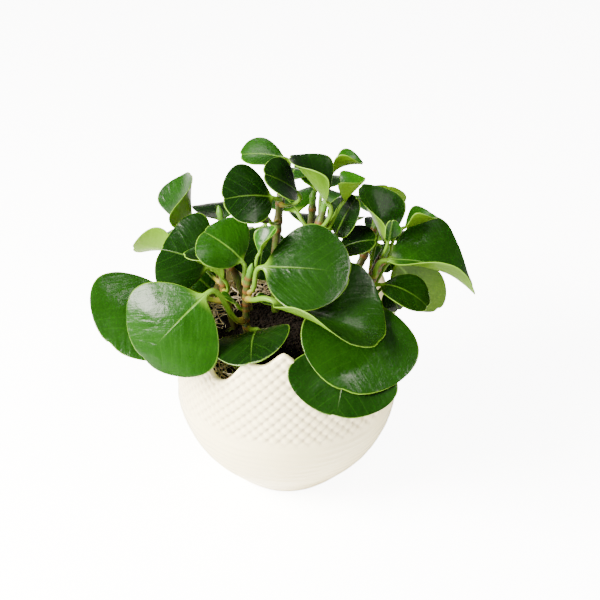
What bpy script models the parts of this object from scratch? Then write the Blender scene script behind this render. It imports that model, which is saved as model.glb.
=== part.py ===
# Potted baby rubber plant: a glazed bowl with a scalloped rim, soil, wood wool, nine stems and leaves.
# Lengths in the tables below are millimetres and are turned into metres when a mesh is made.
# The origin is the centre of the pot's flat underside, +Z is up and the photographed front faces -Y.
import math

import bmesh
import bpy
from mathutils import Vector

MM = 0.001
GAP = 0.3

# Pot: outer radius at each height up to the band that carries the net.
FOOT_RADIUS = 34.0
BELLY = ((2.0, 37.5), (9.0, 44.5), (17.0, 51.5), (25.0, 58.6), (32.0, 63.6))
WALL_THICK = 4.5
RIM_TOP = 145.0
RIM_RADIUS = 73.0
MAX_RADIUS = 76.5
MAX_RADIUS_Z = 68.0
FLOOR_Z = 8.0
BELLY_CURVE = 1.7
TAPER_CURVE = 1.5
LIP_ROUND = 1.0
LIP_STEP = 1.6

# Inside of the pot: height and radius, from the flat floor to the rim.
INNER_PROFILE = ((FLOOR_Z, 34.0), (26.0, 54.0), (46.0, 66.0), (66.0, 71.6), (104.0, 71.4), (RIM_TOP, 68.6))

# Throwing ridges on the belly: from this height to the foot of the net.
RIDGE_START_Z = 34.0
RIDGE_COUNT = 6
RIDGE_HEIGHT = 0.7
RIDGE_MARGIN = 2.0

# Net of crossing diagonal grooves: columns round the pot and rows of crossings up the band.
# Each crossing is a pit, and a lozenge stands out between four of them.
NET_FOOT_Z = 74.0
NET_COLUMNS = 54
NET_ROWS = 14
NET_RAISE = 0.8
NET_PIT = 1.5
NET_BELOW_RIM = 1.5

# Dips in the rim: azimuth from the front (plus is to the right), depth, and half width in degrees.
RIM_DIPS = (
    (-36.5, 29.0, 22.0),
    (-14.0, 10.0, 14.0),
    (24.0, 26.0, 26.0),
    (53.0, 9.0, 10.0),
    (84.0, 16.0, 18.0),
    (106.0, 8.0, 10.0),
    (132.0, 17.0, 18.0),
    (160.0, 8.0, 10.0),
    (186.0, 19.0, 19.0),
    (214.0, 8.0, 10.0),
    (240.0, 15.0, 17.0),
    (267.0, 9.0, 11.0),
    (293.0, 13.0, 14.0),
)

# Soil and the wood wool that lies on it.
SOIL_EDGE_Z = 110.0
SOIL_CROWN_Z = 117.0
SOIL_CROWN_RADIUS = 42.0
SOIL_CROWN_STEEP = 1.6
SOIL_TOP_RADIUS = 30.0
SOIL_CLEAR = 0.4
STEM_HOLE_DEPTH = 12.0
HOLE_CLEAR = 0.4
CUTTER_ABOVE = 20.0
WOOL_INNER_RADIUS = 45.0
WOOL_THICK = 11.0
WOOL_BUMP = 1.2
WOOL_COLUMNS = 36
WOOL_CLEAR = 1.6
WOOL_RIPPLE = 0.35

# Stems and leaf stalks.
STEM_SIDES = 8
STEM_FOOT = 1.5
STEM_TIP_SHARE = 0.8
BUD_SHARE = 0.95
BUD_SWELL_AT = 3.0
BUD_LENGTH = 9.0
NODE_SWELL = 1.22
NODE_LENGTH = 5.0
NODE_SPACING = 3.0
PETIOLE_RADIUS = 0.9
PETIOLE_GROWTH = 0.012
PETIOLE_BEND = 0.35

# Blades: thickness, how it thins towards tip and edge, and how fast the stalk's round shape fades.
BLADE_THICK = 1.3
THIN_TIP = 0.3
THIN_EDGE = 0.35
CUP_STRAIGHT = 0.35
OUTLINE_LEAN = 1.1
OUTLINE_FULL = 0.70
OUTLINE_ROUNDER = 0.20
TUBE_FADE = 0.09
NECK_FADE = 0.12
NECK_SHARE = 0.9
LEAST_HALF = 0.8

# Stems: points of the axis, then the radius. The first point is where the stem leaves the soil.
STEMS = {
    "stem_1": (((-26, -20), (-27, -21, 140), (-26, -20, 165), (-24, -20, 173)), 2.3),
    "stem_2": (((-36, 5), (-42, 4, 140), (-44, 5, 165), (-46, 8, 184)), 2.5),
    "stem_3": (((-8, 20), (-9, 26, 150), (-5, 36, 190), (-1, 43, 217)), 2.8),
    "stem_4": (((15, 6), (18, 8, 150), (20, 10, 185), (25, 15, 203)), 2.8),
    "stem_5": (((38, 2), (51, 0, 140), (61, 2, 165), (65, 4, 174)), 3.0),
    "stem_6": (((25, -23), (30, -27, 128), (35, -29, 140), (37, -29, 146)), 3.0),
    "stem_7": (((12, 36), (16, 48, 150), (18, 56, 185)), 2.8),
    "stem_8": (((-26, 28), (-40, 44, 145), (-46, 52, 175)), 2.8),
    "stem_9": (((31, 24), (52, 40, 145), (62, 48, 170)), 2.8),
}

# Leaves: stem, node height, blade base, blade tip, roll, width, cup, arch, tip droop, heading or None.
LEAVES = {
    "leaf_01": ("stem_1", 165, (-28, -16, 179), (-55, -4, 196), 12, 49, 0.12, 3, 0, None),
    "leaf_02": ("stem_2", 146, (-41, -13, 164), (-67, -15, 185), -11, 29, 0.65, 2, 0, None),
    "leaf_03": ("stem_2", 160, (-52, 12, 158), (-86, 18, 170), 31, 65, 0.12, 4, 2, None),
    "leaf_04": ("stem_8", 156, (-68, 60, 154), (-67, 72, 199), 0, 60, 0.70, 0, 0, 13),
    "leaf_05": ("stem_2", 150, (-74, 34, 158), (-107, 34, 160), -60, 32, 0.50, 2, 0, None),
    "leaf_06": ("stem_1", 138, (-51, -41, 171), (-93, -58, 131), 45, 73, -0.16, 5, 2, None),
    "leaf_07": ("stem_2", 138, (-79, -5, 153), (-114, -48, 136), 31, 75, 0.05, 4, 3, None),
    "leaf_08": ("stem_3", 200, (-8, 14, 211), (-42, 5, 215), 22, 52, 0.10, 3, 0, None),
    "leaf_09": ("stem_3", 194, (8, 15, 214), (-15, 6, 233), 24, 37, 0.22, 2, 0, None),
    "leaf_10": ("stem_3", 208, (0, 39, 227), (-31, 35, 232), 8, 33, 0.20, 2, 0, None),
    "leaf_11": ("stem_4", 190, (28, 2, 213), (2, 12, 243), -21, 48, 0.68, 0, 0, None),
    "leaf_12": ("stem_4", 193, (31, 41, 216), (52, 41, 223), 19, 29, 0.70, 2, 0, None),
    "leaf_13": ("stem_4", 187, (38, 6, 213), (52, 9, 228), 22, 34, 0.80, 0, 0, None),
    "leaf_14": ("stem_4", 176, (33, 12, 182), (47, 10, 214), 2, 26, 0.30, 2, 0, 44),
    "leaf_15": ("stem_5", 164, (69, 14, 172), (49, 24, 215), -3, 38, 0.90, 0, 0, None),
    "leaf_16": ("stem_5", 156, (66, 36, 188), (70, 39, 207), 0, 28, 0.20, 2, 0, -90),
    "leaf_17": ("stem_5", 172, (67, -7, 190), (69, -6, 206), 0, 14, 0.60, 0, 0, 123),
    "leaf_18": ("stem_5", 168, (78, 11, 190), (101, 13, 197), 19, 27, 0.75, 0, 0, None),
    "leaf_19": ("stem_5", 160, (65, -8, 176), (127, -4, 154), 1, 66, 0.66, 6, 2, None),
    "leaf_20": ("stem_5", 150, (62, -14, 161), (94, -29, 154), -5, 34, 0.15, 4, 2, None),
    "leaf_21": ("stem_5", 146, (74, 14, 162), (105, 14, 122), 84, 36, 0.15, 2, 0, None),
    "leaf_22": ("stem_1", 160, (-16, -23, 180), (42, -37, 183), -34, 62, 0.08, 4, 0, None),
    "leaf_23": ("stem_1", 155, (-10, -37, 164), (61, -71, 155), 8, 83, 0.64, 0, 0, None),
    "leaf_24": ("stem_6", 140, (57, -25, 158), (38, -92, 132), 13, 77, 0.09, 3, 3, None),
    "leaf_25": ("stem_6", 130, (41, -60, 145), (32, -98, 116), 8, 71, 0.04, 3, 4, None),
    "leaf_26": ("stem_1", 132, (-19, -32, 137), (-22, -74, 139), -17, 54, 0.15, 4, 0, None),
    "leaf_27": ("stem_1", 150, (-20, -13, 148), (-8, -7, 142), 0, 18, 0.10, 1, 0, None),
    "leaf_28": ("stem_1", 146, (-33, -22, 151), (-42, -26, 160), 0, 17, 0.10, 1, 0, None),
    "leaf_29": ("stem_1", 170, (-18, -19, 187), (-6, -15, 206), 0, 16, 0.90, 0, 0, None),
    "leaf_30": ("stem_3", 182, (-12, 18, 193), (-27, 14, 201), 10, 30, 0.15, 3, 0, None),
    "leaf_31": ("stem_4", 160, (33, 2, 176), (60, -3, 189), -10, 33, 0.15, 3, 0, None),
    "leaf_32": ("stem_7", 180, (20, 66, 188), (34, 106, 178), 0, 48, 0.15, 6, 2, None),
    "leaf_33": ("stem_7", 166, (8, 62, 172), (-12, 106, 160), 0, 52, 0.12, 6, 2, None),
    "leaf_34": ("stem_7", 150, (24, 62, 155), (32, 114, 136), 0, 56, 0.10, 8, 3, None),
    "leaf_35": ("stem_8", 170, (-47, 62, 166), (-53, 92, 164), 0, 36, 0.15, 3, 0, None),
    "leaf_36": ("stem_8", 148, (-58, 61, 149), (-104, 82, 134), -6, 48, 0.12, 5, 2, None),
    "leaf_37": ("stem_8", 140, (-42, 60, 143), (-56, 108, 124), 4, 54, 0.10, 6, 3, None),
    "leaf_38": ("stem_9", 154, (63, 41, 160), (73, 26, 146), 5, 32, 0.12, 2, 0, None),
    "leaf_39": ("stem_9", 150, (62, 59, 151), (92, 96, 134), 0, 52, 0.10, 7, 3, None),
    "leaf_40": ("stem_9", 168, (62, 60, 172), (66, 92, 166), 0, 38, 0.15, 3, 0, None),
    "leaf_41": ("stem_3", 194, (2, 54, 202), (8, 88, 193), 0, 38, 0.15, 4, 0, None),
    "leaf_42": ("stem_4", 180, (33, 27, 197), (42, 54, 192), 0, 30, 0.20, 3, 0, None),
    "leaf_43": ("stem_5", 138, (68, 1, 148), (76, -8, 136), -12, 20, 0.10, 1, 0, None),
    "leaf_44": ("stem_2", 132, (-51, 12, 139), (-64, 21, 146), 20, 22, 0.10, 2, 0, None),
    "leaf_45": ("stem_3", 176, (-15, 50, 171), (-20, 34, 134), 14, 46, 0.10, 3, 0, None),
}

# A leaf's cross-section: eight points as a share of the half width, and which face each is on.
SECTION_U = (-1.0, -0.55, 0.0, 0.55, 1.0, 0.55, 0.0, -0.55)
SECTION_SIDE = (0, 1, 1, 1, 0, -1, -1, -1)
SECTION_ANGLE = (180, 135, 90, 45, 0, -45, -90, -135)
BLADE_STATIONS = (0.0, 0.07, 0.18, 0.33, 0.50, 0.67, 0.81, 0.92, 0.98, 1.0)
PETIOLE_RINGS = 2


def clear_scene():
    for item in list(bpy.data.objects):
        bpy.data.objects.remove(item, do_unlink=True)


def make_material(name, colour, rough):
    mat = bpy.data.materials.new(name)
    mat.use_nodes = True
    node = mat.node_tree.nodes["Principled BSDF"]
    node.inputs["Base Color"].default_value = (*colour, 1.0)
    node.inputs["Roughness"].default_value = rough
    return mat


def add_object(name, verts, faces, mat, smooth_angle=None):
    mesh = bpy.data.meshes.new(name)
    mesh.from_pydata([tuple(c * MM for c in v) for v in verts], [], faces)
    work = bmesh.new()
    work.from_mesh(mesh)
    if work.calc_volume(signed=True) < 0.0:
        bmesh.ops.reverse_faces(work, faces=work.faces)
    work.to_mesh(mesh)
    work.free()
    mesh.materials.append(mat)
    item = bpy.data.objects.new(name, mesh)
    bpy.context.scene.collection.objects.link(item)
    if smooth_angle is not None:
        mesh.shade_smooth()
        mesh.set_sharp_from_angle(angle=math.radians(smooth_angle))
    return item


# Rim height at an azimuth counted from the front, in degrees.
def rim_height(azimuth):
    drop = 0.0
    for centre, depth, half in RIM_DIPS:
        away = abs((azimuth - centre + 180.0) % 360.0 - 180.0) / half
        if away < 1.0:
            drop = max(drop, depth * (1.0 - away * away) ** 2)
    return RIM_TOP - drop


def front_azimuth(angle):
    return math.degrees(angle) + 90.0


# Outer radius of the pot above the belly, before any relief.
def wall_radius(z):
    if z <= MAX_RADIUS_Z:
        share = (MAX_RADIUS_Z - z) / (MAX_RADIUS_Z - BELLY[-1][0])
        return MAX_RADIUS - (MAX_RADIUS - BELLY[-1][1]) * share ** BELLY_CURVE
    share = (z - MAX_RADIUS_Z) / (RIM_TOP - MAX_RADIUS_Z)
    return MAX_RADIUS - (MAX_RADIUS - RIM_RADIUS) * share ** TAPER_CURVE


# Inner radius of the pot: the wall's thickness in from the outside, narrowing to a flat floor.
def inner_radius(z):
    for low, high in zip(INNER_PROFILE, INNER_PROFILE[1:]):
        if low[0] <= z <= high[0]:
            share = (z - low[0]) / (high[0] - low[0])
            return low[1] + (high[1] - low[1]) * share
    return INNER_PROFILE[-1][1]


def ring_at(radius, height, columns, offset=0.0):
    ring = []
    for i in range(columns):
        angle = 2.0 * math.pi * (i + offset) / columns
        z = height(angle) if callable(height) else height
        r = radius(z) if callable(radius) else radius
        ring.append((r * math.cos(angle), r * math.sin(angle), z))
    return ring


class Skin:
    """Vertices and faces of one closed surface, built ring by ring."""

    def __init__(self):
        self.verts = []
        self.faces = []

    def ring(self, points):
        start = len(self.verts)
        self.verts.extend(points)
        return list(range(start, start + len(points)))

    def bridge(self, low, high, mirror_from=None):
        count = len(low)
        for i in range(count):
            j = (i + 1) % count
            if mirror_from is not None and i >= mirror_from:
                self.faces.append((low[i], low[j], high[i]))
                self.faces.append((low[j], high[j], high[i]))
            else:
                self.faces.append((low[i], low[j], high[j]))
                self.faces.append((low[i], high[j], high[i]))

    def fan(self, ring, point, flip=False):
        centre = len(self.verts)
        self.verts.append(point)
        count = len(ring)
        for i in range(count):
            j = (i + 1) % count
            if flip:
                self.faces.append((ring[j], ring[i], centre))
            else:
                self.faces.append((ring[i], ring[j], centre))


# Height of a row of the net: it follows the scalloped rim more and more towards the top.
def net_height(row):
    share = row / NET_ROWS

    def height(angle):
        top = rim_height(front_azimuth(angle))
        return NET_FOOT_Z + (top - NET_BELOW_RIM - NET_FOOT_Z) * share

    return height


def build_pot(mat):
    skin = Skin()
    n = NET_COLUMNS
    foot = skin.ring(ring_at(FOOT_RADIUS, 0.0, n))
    skin.fan(foot, (0.0, 0.0, 0.0), flip=True)
    last = foot
    for z, r in BELLY:
        ring = skin.ring(ring_at(r, z, n))
        skin.bridge(last, ring)
        last = ring
    steps = RIDGE_COUNT * 2
    for k in range(1, steps):
        z = RIDGE_START_Z + (NET_FOOT_Z - RIDGE_MARGIN - RIDGE_START_Z) * k / steps
        r = wall_radius(z) + (RIDGE_HEIGHT if k % 2 else 0.0)
        ring = skin.ring(ring_at(r, z, n))
        skin.bridge(last, ring)
        last = ring
    # The net: its rows are the grooves' crossings, and the middle of each lozenge stands out.
    rows = []
    peaks = {}
    for row in range(NET_ROWS + 1):
        offset = 0.5 * (row % 2)
        edge = row in (0, NET_ROWS)
        sink = 0.0 if edge else NET_PIT
        height = net_height(row)
        rows.append(skin.ring(ring_at(lambda z: wall_radius(z) - sink, height, n, offset)))
        if not edge:
            peaks[row] = skin.ring(ring_at(lambda z: wall_radius(z) + NET_RAISE, height, n, offset + 0.5))
    skin.bridge(last, rows[0])
    for row in range(NET_ROWS + 1):
        shift = row % 2
        for i in range(n):
            left = rows[row][i]
            right = rows[row][(i + 1) % n]
            between = (i + shift) % n
            up = rows[row + 1][between] if row < NET_ROWS else None
            down = rows[row - 1][between] if row > 0 else None
            if row == 0:
                skin.faces.append((left, right, up))
            elif row == NET_ROWS:
                skin.faces.append((right, left, down))
            else:
                peak = peaks[row][i]
                skin.faces.append((left, down, peak))
                skin.faces.append((down, right, peak))
                skin.faces.append((right, up, peak))
                skin.faces.append((up, left, peak))
    # A rounded lip, then the inner wall and the floor.
    lip = (
        (lambda z: wall_radius(z) - LIP_ROUND, 0.0),
        (lambda z: wall_radius(z) - WALL_THICK + LIP_ROUND, 0.0),
        (inner_radius, -LIP_STEP),
    )
    last = rows[NET_ROWS]
    for radius, lower in lip:
        height = (lambda angle, lower=lower: rim_height(front_azimuth(angle)) + lower)
        ring = skin.ring(ring_at(radius, height, n))
        skin.bridge(last, ring)
        last = ring
    for z, r in reversed(INNER_PROFILE[:-1]):
        ring = skin.ring(ring_at(r, z, n))
        skin.bridge(last, ring)
        last = ring
    skin.fan(last, (0.0, 0.0, FLOOR_Z))
    return add_object("pot", skin.verts, skin.faces, mat, 25)


# Height of the soil's surface at a distance from the middle.
def soil_height(r):
    if r >= SOIL_CROWN_RADIUS:
        return SOIL_EDGE_Z
    share = 1.0 - (r / SOIL_CROWN_RADIUS) ** 2
    return SOIL_EDGE_Z + (SOIL_CROWN_Z - SOIL_EDGE_Z) * min(1.0, SOIL_CROWN_STEEP * share)


def stem_axis(name):
    points, radius = STEMS[name]
    x, y = points[0]
    top = soil_height(math.hypot(x, y))
    axis = [(x, y, top - STEM_HOLE_DEPTH + GAP), (x, y, top + STEM_FOOT)]
    axis.extend(points[1:])
    return [Vector(p) for p in axis], radius


# The point of the stem at a height, with its direction there.
def stem_at(name, z):
    axis, radius = stem_axis(name)
    for low, high in zip(axis, axis[1:]):
        if low.z <= z <= high.z:
            point = low.lerp(high, (z - low.z) / (high.z - low.z))
            return point, (high - low).normalized(), radius
    return axis[-1], (axis[-1] - axis[-2]).normalized(), radius


def build_soil(mat, stem_names):
    skin = Skin()
    n = NET_COLUMNS // 2
    profile = [(FLOOR_Z + GAP, INNER_PROFILE[0][1] - LIP_ROUND)]
    for z, r in INNER_PROFILE[1:-1]:
        profile.append((z, r - SOIL_CLEAR))
    profile.append((SOIL_EDGE_Z, inner_radius(SOIL_EDGE_Z) - SOIL_CLEAR))
    last = skin.ring(ring_at(profile[0][1], profile[0][0], n))
    skin.fan(last, (0.0, 0.0, FLOOR_Z + GAP), flip=True)
    for z, r in profile[1:]:
        ring = skin.ring(ring_at(r, z, n))
        skin.bridge(last, ring)
        last = ring
    flat = skin.ring(ring_at(SOIL_CROWN_RADIUS, SOIL_EDGE_Z, n))
    skin.bridge(last, flat)
    inner = skin.ring(ring_at(SOIL_TOP_RADIUS, soil_height(SOIL_TOP_RADIUS), n))
    skin.bridge(flat, inner)
    skin.fan(inner, (0.0, 0.0, SOIL_CROWN_Z))
    soil = add_object("soil", skin.verts, skin.faces, mat, 50)
    cutters = []
    for name in stem_names:
        axis, radius = stem_axis(name)
        cutter = Skin()
        low = axis[0].z - GAP
        high = low + STEM_HOLE_DEPTH + CUTTER_ABOVE
        rings = []
        for z in (low, high):
            points = []
            for i in range(STEM_SIDES):
                angle = 2.0 * math.pi * (i + 0.5) / STEM_SIDES
                reach = radius + HOLE_CLEAR
                points.append((axis[0].x + reach * math.cos(angle), axis[0].y + reach * math.sin(angle), z))
            rings.append(cutter.ring(points))
        cutter.bridge(rings[0], rings[1])
        cutter.fan(rings[0], (axis[0].x, axis[0].y, low), flip=True)
        cutter.fan(rings[1], (axis[0].x, axis[0].y, high))
        cutters.append(add_object("cut_" + name, cutter.verts, cutter.faces, mat))
    for cutter in cutters:
        cut = soil.modifiers.new("hole", "BOOLEAN")
        cut.operation = "DIFFERENCE"
        cut.solver = "EXACT"
        cut.object = cutter
    depsgraph = bpy.context.evaluated_depsgraph_get()
    done = bpy.data.meshes.new_from_object(soil.evaluated_get(depsgraph))
    soil.modifiers.clear()
    soil.data = done
    for cutter in cutters:
        bpy.data.objects.remove(cutter, do_unlink=True)
    return soil


# The wood wool: a lumpy ring on the soil between the stems and the wall.
def build_wool(mat):
    skin = Skin()
    n = WOOL_COLUMNS
    base = SOIL_EDGE_Z + GAP
    outer = inner_radius(SOIL_EDGE_Z) - WOOL_CLEAR
    sections = (
        (WOOL_INNER_RADIUS, 0.0),
        (outer, 0.0),
        (outer + 0.4, 0.45),
        (outer - 1.5, 0.86),
        (outer - 7.0, 1.0),
        (outer - 14.0, 0.94),
        (WOOL_INNER_RADIUS + 2.5, 0.62),
        (WOOL_INNER_RADIUS, 0.3),
    )
    rings = []
    for k, (r, share) in enumerate(sections):
        points = []
        for i in range(n):
            angle = 2.0 * math.pi * i / n
            bump = math.sin(7.0 * angle + 2.1 * k) + 0.7 * math.sin(13.0 * angle - 1.3 * k)
            z = base
            reach = r
            if share > 0.0:
                z = base + WOOL_THICK * share + 0.5 * WOOL_BUMP * bump * share
                reach = r + (WOOL_RIPPLE * bump if 3 <= k <= 6 else 0.0)
            points.append((reach * math.cos(angle), reach * math.sin(angle), z))
        rings.append(skin.ring(points))
    for low, high in zip(rings, rings[1:] + rings[:1]):
        skin.bridge(low, high)
    return add_object("wood_wool", skin.verts, skin.faces, mat, 60)


def leaf_names_on(stem):
    return [name for name, row in LEAVES.items() if row[0] == stem]


def stem_ring(point, side, other, reach):
    points = []
    for i in range(STEM_SIDES):
        angle = 2.0 * math.pi * (i + 0.5) / STEM_SIDES
        points.append(tuple(point + side * reach * math.cos(angle) + other * reach * math.sin(angle)))
    return points


# A stem swells at each node, and ends in a pointed bud.
def build_stem(name, mat):
    axis, radius = stem_axis(name)
    nodes = sorted({LEAVES[leaf][1] for leaf in leaf_names_on(name)})
    heights = [axis[0].z, axis[1].z]
    for z in nodes:
        heights.append(z - NODE_LENGTH)
        heights.append(z)
    heights.extend(p.z for p in axis[2:])
    kept = []
    for z in sorted(set(heights)):
        near_node = any(abs(z - node) < NODE_SPACING and z != node for node in nodes)
        if z <= axis[1].z or z == axis[-1].z or (z > axis[1].z + STEM_FOOT and not near_node):
            kept.append(z)
    skin = Skin()
    last = None
    for z in kept:
        point, along, _ = stem_at(name, z)
        if z <= axis[1].z:
            along = Vector((0.0, 0.0, 1.0))
        swell = NODE_SWELL if z in nodes else 1.0
        if z == kept[-1]:
            swell = STEM_TIP_SHARE
        side = along.cross(Vector((0.0, 1.0, 0.0))).normalized()
        other = along.cross(side).normalized()
        ring = skin.ring(stem_ring(point, side, other, radius * swell))
        if last is None:
            skin.faces.append(tuple(reversed(ring)))
        else:
            skin.bridge(last, ring)
        last = ring
    bud = skin.ring(stem_ring(point + along * BUD_SWELL_AT, side, other, radius * BUD_SHARE))
    skin.bridge(last, bud)
    skin.fan(bud, tuple(point + along * BUD_LENGTH))
    return add_object(name, skin.verts, skin.faces, mat, 50)


# Half the blade's width at a share of its length: wedge-like at the base and round at the tip.
def half_width(share, width):
    share = min(max(share, 0.004), 0.9965)
    fullness = OUTLINE_FULL - OUTLINE_ROUNDER * share
    return 0.5 * width * math.sin(math.pi * share ** OUTLINE_LEAN) ** fullness


def leaf_frame(base, tip, roll, heading):
    forward = (tip - base).normalized()
    flat = Vector((forward.x, forward.y, 0.0))
    if heading is not None:
        flat = Vector((math.cos(math.radians(heading)), math.sin(math.radians(heading)), 0.0))
    side = flat.cross(Vector((0.0, 0.0, 1.0))).normalized()
    side = (side - forward * side.dot(forward)).normalized()
    normal = side.cross(forward)
    turn = math.radians(roll)
    return (
        side * math.cos(turn) + normal * math.sin(turn),
        normal * math.cos(turn) - side * math.sin(turn),
    )


# One ring of eight points: a round petiole that opens into a thin, cupped blade.
def leaf_ring(centre, side, normal, half, cup, thick, tube, petiole):
    ring = []
    for u, face, angle in zip(SECTION_U, SECTION_SIDE, SECTION_ANGLE):
        rise = half * cup * (CUP_STRAIGHT * abs(u) + (1.0 - CUP_STRAIGHT) * u * u)
        lift = rise + face * 0.5 * thick * (1.0 - THIN_EDGE * abs(u))
        blade = side * (half * u) + normal * lift
        turn = math.radians(angle)
        stalk = side * (petiole * math.cos(turn)) + normal * (petiole * math.sin(turn))
        ring.append(tuple(centre + blade * (1.0 - tube) + stalk * tube))
    return ring


def build_leaf(name, mat):
    stem, node_z, base, tip, roll, width, cup, arch, droop, heading = LEAVES[name]
    base = Vector(base)
    tip = Vector(tip)
    petiole = PETIOLE_RADIUS + PETIOLE_GROWTH * width
    side, normal = leaf_frame(base, tip, roll, heading)
    node, along, radius = stem_at(stem, node_z)
    out = base - node
    out = (out - along * out.dot(along)).normalized()
    start = node + out * (radius * NODE_SWELL + GAP)

    def midrib(t):
        return base + (tip - base) * t + normal * (arch * 4.0 * t * (1.0 - t) - droop * t ** 3)

    skin = Skin()
    rings = []
    reach = (base - start).length
    leave = start + out * reach * PETIOLE_BEND
    arrive = base - (midrib(0.05) - midrib(0.0)).normalized() * reach * PETIOLE_BEND
    # The petiole is walked from the blade back to the stem, so that its rings turn as little as they can.
    last = (midrib(0.02) - midrib(-0.02)).normalized()
    across = (side - last * side.dot(last)).normalized()
    stalk = []
    for i in reversed(range(PETIOLE_RINGS)):
        k = i / PETIOLE_RINGS
        j = 1.0 - k
        point = start * j ** 3 + leave * 3 * j * j * k + arrive * 3 * j * k * k + base * k ** 3
        slope = (leave - start) * 3 * j * j + (arrive - leave) * 6 * j * k + (base - arrive) * 3 * k * k
        slope.normalize()
        across = last.rotation_difference(slope) @ across
        last = slope
        stalk.append(leaf_ring(point, across, across.cross(slope), 1.0, 0.0, 1.0, 1.0, petiole))
    for points in reversed(stalk):
        rings.append(skin.ring(points))
    for t in BLADE_STATIONS:
        slope = (midrib(min(t + 0.02, 1.02)) - midrib(t - 0.02)).normalized()
        across = (side - slope * side.dot(slope)).normalized()
        half = half_width(t, width)
        if t < 0.5:
            half = math.hypot(half, petiole * NECK_SHARE * math.exp(-(t / NECK_FADE) ** 2))
        half = max(half, LEAST_HALF)
        bend = cup * math.sin(math.pi * t ** 0.8) if t < 1.0 else 0.0
        thick = BLADE_THICK * (1.0 - THIN_TIP * t)
        tube = math.exp(-(t / TUBE_FADE) ** 2)
        up = across.cross(slope)
        rings.append(skin.ring(leaf_ring(midrib(t), across, up, half, bend, thick, tube, petiole)))
    # The two faces of the blade are split along the same diagonals.
    for low, high in zip(rings, rings[1:]):
        skin.bridge(low, high, mirror_from=4)
    skin.faces.append(tuple(reversed(rings[0])))
    skin.faces.append(tuple(rings[-1]))
    return add_object(name, skin.verts, skin.faces, mat, 60)


def main():
    clear_scene()
    glaze = make_material("cream_glaze", (0.86, 0.82, 0.72), 0.25)
    earth = make_material("dark_soil", (0.05, 0.035, 0.025), 0.95)
    straw = make_material("pale_wood_wool", (0.62, 0.52, 0.36), 0.8)
    bark = make_material("green_stem", (0.34, 0.42, 0.16), 0.45)
    green = make_material("fleshy_leaf", (0.06, 0.22, 0.04), 0.3)
    build_pot(glaze)
    build_soil(earth, list(STEMS))
    build_wool(straw)
    for name in STEMS:
        build_stem(name, bark)
    for name in LEAVES:
        build_leaf(name, green)


main()
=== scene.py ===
# Looks of the potted baby rubber plant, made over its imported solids.
# Lengths in the tables are millimetres and are turned into metres when a mesh is made.
from math import copysign, cos, degrees, exp, hypot, pi, radians, sin, sqrt

import bmesh
import bpy
from bpy.props import FloatProperty, FloatVectorProperty, IntProperty, PointerProperty
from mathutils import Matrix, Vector, noise


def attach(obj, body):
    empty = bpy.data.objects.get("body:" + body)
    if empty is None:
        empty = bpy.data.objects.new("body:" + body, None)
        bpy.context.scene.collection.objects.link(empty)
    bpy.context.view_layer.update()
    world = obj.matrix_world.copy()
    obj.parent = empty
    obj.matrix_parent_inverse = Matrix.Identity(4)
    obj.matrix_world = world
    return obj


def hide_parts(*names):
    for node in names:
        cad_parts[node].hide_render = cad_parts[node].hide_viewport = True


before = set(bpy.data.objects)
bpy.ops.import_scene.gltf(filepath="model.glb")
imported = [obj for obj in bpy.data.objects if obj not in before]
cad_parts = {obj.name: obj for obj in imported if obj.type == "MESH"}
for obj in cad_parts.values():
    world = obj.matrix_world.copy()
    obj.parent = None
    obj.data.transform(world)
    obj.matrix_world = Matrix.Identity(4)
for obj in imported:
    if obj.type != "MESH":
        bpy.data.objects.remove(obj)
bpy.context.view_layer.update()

bl_info = {
    "name": "Potted Baby Rubber Plant",
    "version": (1, 0, 0),
    "blender": (4, 5, 0),
    "location": "View3D > Sidebar > Plant",
    "description": "A fleshy-leaved houseplant in a glazed pot, on a pale studio floor",
    "category": "Add Mesh",
}

MM = 0.001

# Pot: heights and outer radii from the foot to the belly, the sizes of its wall, and its mesh steps.
BELLY = ((0.0, 34.0), (2.0, 37.5), (9.0, 44.5), (17.0, 51.5), (25.0, 58.6), (32.0, 63.6))
WALL_THICK = 4.5
RIM_TOP = 145.0
RIM_RADIUS = 73.0
MAX_RADIUS = 76.5
MAX_RADIUS_Z = 68.0
BELLY_CURVE = 1.7
TAPER_CURVE = 1.5
NET_FOOT_Z = 74.0
POT_ROWS = 62
LIP_RISE = 1.6
LIP_STEPS = 8

# Dips in the rim: azimuth from the front (plus is to the right), depth, and half width in degrees.
RIM_DIPS = (
    (-36.5, 29, 22), (-14, 10, 14), (24, 26, 26), (53, 9, 10), (84, 16, 18), (106, 8, 10), (132, 17, 18),
    (160, 8, 10), (186, 19, 19), (214, 8, 10), (240, 15, 17), (267, 9, 11), (293, 13, 14),
)

# Soil and wood wool: the soil's heights and crown, the wool's level, and the mesh columns under both.
SOIL_EDGE_Z = 110.0
SOIL_CROWN_Z = 117.0
SOIL_CROWN_RADIUS = 42.0
SOIL_CROWN_STEEP = 1.6
WOOL_Z = SOIL_EDGE_Z + 1.0
GROUND_COLUMNS = 48
FULL_TURN = 6.283

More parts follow.
